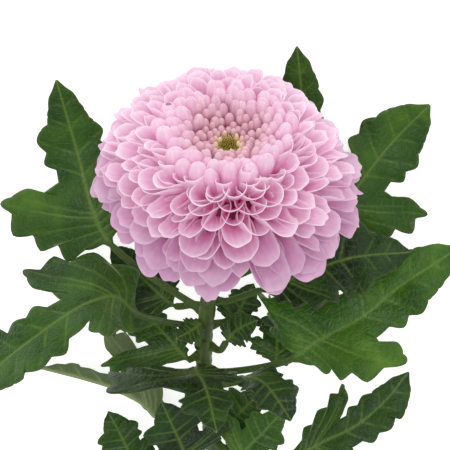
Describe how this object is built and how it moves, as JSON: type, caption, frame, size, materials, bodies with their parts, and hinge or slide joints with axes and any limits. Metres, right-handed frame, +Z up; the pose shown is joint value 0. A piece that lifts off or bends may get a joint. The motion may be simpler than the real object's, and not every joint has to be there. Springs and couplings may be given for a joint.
{
  "type": "cut chrysanthemum",
  "caption": "Cut chrysanthemum lying down: a dense pink bloom of spoon-tipped florets with a small olive eye, lobed dark green leaves and a bare lower stem.",
  "frame": {"origin": "middle of the bounding box, at its base on the surface that the flower lies on", "axes": "+Y along the stem towards the bloom, +Z up from the surface, +X across"},
  "size_m": [0.219, 0.2896, 0.1138],
  "materials": {
    "petals": "satin, pale pink tips over a magenta heart",
    "eye": "matte, olive yellow",
    "bracts": "matte green",
    "stem": "satin, ribbed green",
    "leaves": "semi-gloss above, pale and matte beneath"
  },
  "bodies": {
    "root": {"bloom": "petals", "eye": "eye", "bracts": "bracts", "stem": "stem", "leaf_rear_left": "leaves", "leaf_rear_middle": "leaves", "leaf_rear_right": "leaves", "leaf_right_upper": "leaves", "leaf_right_middle": "leaves", "leaf_right_small": "leaves", "leaf_right_lower": "leaves", "leaf_left_upper": "leaves", "leaf_left_middle": "leaves", "leaf_left_turned": "leaves", "leaf_left_lower": "leaves", "leaf_front_middle": "leaves", "leaf_low_middle": "leaves", "leaf_low_right": "leaves", "leaf_low_left": "leaves", "leaf_small_left": "leaves", "leaf_small_right": "leaves", "leaf_inner_left": "leaves", "leaf_neck": "leaves", "leaf_right_inner": "leaves"}
  },
  "joints": []
}
